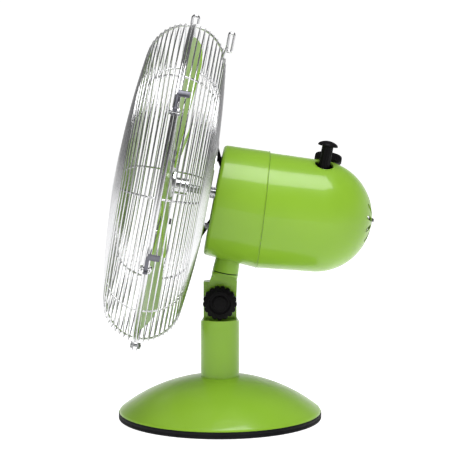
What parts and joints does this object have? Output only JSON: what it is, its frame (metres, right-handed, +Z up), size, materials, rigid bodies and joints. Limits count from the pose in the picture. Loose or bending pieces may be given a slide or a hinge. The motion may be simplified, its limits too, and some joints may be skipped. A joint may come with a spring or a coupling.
{
  "type": "desk fan",
  "caption": "Oscillating metal desk fan: domed base, tilting neck, bullet motor housing, pitched blades and a wire cage guard with a carry handle.",
  "frame": {"origin": "centre of the base's underside, on the table", "axes": "+Z up, the fan blows along -Y, +X towards the tilt knob"},
  "size_m": [0.3328, 0.2789, 0.4173],
  "materials": {
    "green_paint": "glossy lime-green enamel",
    "blade_paint": "glossy lime-green enamel on thin sheet",
    "chrome_wire": "bright chrome plating on wire",
    "chrome_trim": "bright chrome plating",
    "black_plastic": "satin black moulded plastic",
    "black_rubber": "black rubber",
    "black_steel": "satin black paint",
    "zinc_steel": "zinc-plated steel",
    "core_steel": "stacked electrical steel",
    "cast_iron": "cast iron",
    "cast_alloy": "die-cast aluminium",
    "brass": "sintered bronze and brass",
    "copper_wire": "varnished copper wire"
  },
  "bodies": {
    "base": {"base_plate": "black_steel", "foot_ring": "black_rubber", "base_cover": "green_paint", "base_weight": "cast_iron", "base_plate_screws": "zinc_steel", "post": "green_paint", "post_bolt": "zinc_steel", "tilt_bolt": "zinc_steel", "tilt_washer": "black_rubber"},
    "tilt_knob": {"tilt_knob": "black_plastic"},
    "neck": {"neck_bracket": "green_paint", "anchor_arm": "zinc_steel"},
    "head": {"neck_collar": "green_paint", "swivel_bush": "black_plastic", "swivel_carrier": "cast_alloy", "front_housing": "green_paint", "rear_housing": "green_paint", "motor_face_plate": "black_steel", "rear_housing_screw": "chrome_trim", "cord_grommet": "black_rubber", "motor_front_bracket": "cast_alloy", "motor_rear_bracket": "cast_alloy", "stator_core": "core_steel", "stator_windings": "copper_wire", "motor_tie_bolts": "zinc_steel", "shaft_bearings": "brass", "gearbox_frame": "cast_alloy", "run_capacitor": "black_plastic", "speed_switch": "black_plastic", "guard_mount_ring": "chrome_trim", "guard_fixings": "zinc_steel", "rear_guard_rings": "chrome_wire", "rear_guard_ribs": "chrome_wire", "rear_guard_rim": "chrome_wire", "front_guard_rings": "chrome_wire", "front_guard_ribs": "chrome_wire", "front_guard_rim": "chrome_wire", "front_badge": "chrome_trim", "carry_handle": "chrome_wire", "guard_hook_and_loops": "chrome_trim", "guard_clamp": "zinc_steel"},
    "speed_knob": {"speed_knob": "black_plastic"},
    "oscillation_knob": {"oscillation_knob": "black_plastic"},
    "rotor": {"motor_shaft": "zinc_steel", "rotor_core": "core_steel", "blade_hub": "chrome_trim", "fan_blade_1": "blade_paint", "fan_blade_2": "blade_paint", "fan_blade_3": "blade_paint", "fan_blade_4": "blade_paint", "blade_rivets": "zinc_steel", "spinner_nut": "black_plastic"},
    "clutch": {"clutch_spindle": "zinc_steel", "worm_wheel": "brass"},
    "crank": {"crank_gear": "brass"},
    "link": {"link_arm": "zinc_steel"},
    "clip_lever_1": {"clip_lever_1": "zinc_steel"},
    "clip_lever_2": {"clip_lever_2": "zinc_steel"},
    "clip_lever_3": {"clip_lever_3": "zinc_steel"},
    "clip_lever_4": {"clip_lever_4": "zinc_steel"}
  },
  "joints": [
    {"name": "head_tilt", "type": "hinge", "parent": "base", "child": "neck", "pos_m": [0, 0, 0.1225], "axis": [-1, 0, 0], "range_deg": [-20, 20]},
    {"name": "tilt_knob_turn", "type": "hinge", "parent": "base", "child": "tilt_knob", "pos_m": [0.012, 0, 0.1225], "axis": [1, 0, 0], "range_deg": [0, 180]},
    {"name": "oscillation", "type": "hinge", "parent": "neck", "child": "head", "pos_m": [0, 0.00729, 0.16183], "axis": [0, 0.1822, 0.9833], "range_deg": [-40, 40]},
    {"name": "blade_spin", "type": "hinge", "parent": "head", "child": "rotor", "pos_m": [0, -0.04496, 0.2421], "axis": [0, -0.9833, 0.1822], "continuous": true},
    {"name": "clutch_spin", "type": "hinge", "parent": "head", "child": "clutch", "pos_m": [0.018, 0.09712, 0.21576], "axis": [0, 0.1822, 0.9833], "continuous": true},
    {"name": "crank_spin", "type": "hinge", "parent": "head", "child": "crank", "pos_m": [0, 0.08958, 0.17506], "axis": [0, 0.1822, 0.9833], "continuous": true},
    {"name": "link_pivot", "type": "hinge", "parent": "crank", "child": "link", "pos_m": [-0.01, 0.08885, 0.17112], "axis": [0, 0.1822, 0.9833], "continuous": true},
    {"name": "speed_knob_turn", "type": "hinge", "parent": "head", "child": "speed_knob", "pos_m": [-0.01777, 0.11118, 0.2642], "axis": [-0.309, 0.1733, 0.9351], "range_deg": [0, 135]},
    {"name": "oscillation_knob_pull", "type": "slide", "parent": "head", "child": "oscillation_knob", "axis": [0, 0.1822, 0.9833], "range_m": [-0.006, 0]},
    {"name": "clip_lever_1_open", "type": "hinge", "parent": "head", "child": "clip_lever_1", "pos_m": [0.14722, -0.04127, 0.32786], "axis": [0, -0.9833, 0.1822], "range_deg": [-75, 0]},
    {"name": "clip_lever_2_open", "type": "hinge", "parent": "head", "child": "clip_lever_2", "pos_m": [-0.14722, -0.04127, 0.32786], "axis": [0, -0.9833, 0.1822], "range_deg": [0, 75]},
    {"name": "clip_lever_3_open", "type": "hinge", "parent": "head", "child": "clip_lever_3", "pos_m": [0.15407, -0.06985, 0.17364], "axis": [0, -0.9833, 0.1822], "range_deg": [-75, 0]},
    {"name": "clip_lever_4_open", "type": "hinge", "parent": "head", "child": "clip_lever_4", "pos_m": [-0.15407, -0.06985, 0.17364], "axis": [0, -0.9833, 0.1822], "range_deg": [0, 75]}
  ],
  "couplings": [
    {"joint": "clutch_spin", "follows": "blade_spin", "ratio": 0.025},
    {"joint": "crank_spin", "follows": "blade_spin", "ratio": -0.005},
    {"joint": "link_pivot", "follows": "blade_spin", "ratio": 0.005}
  ]
}
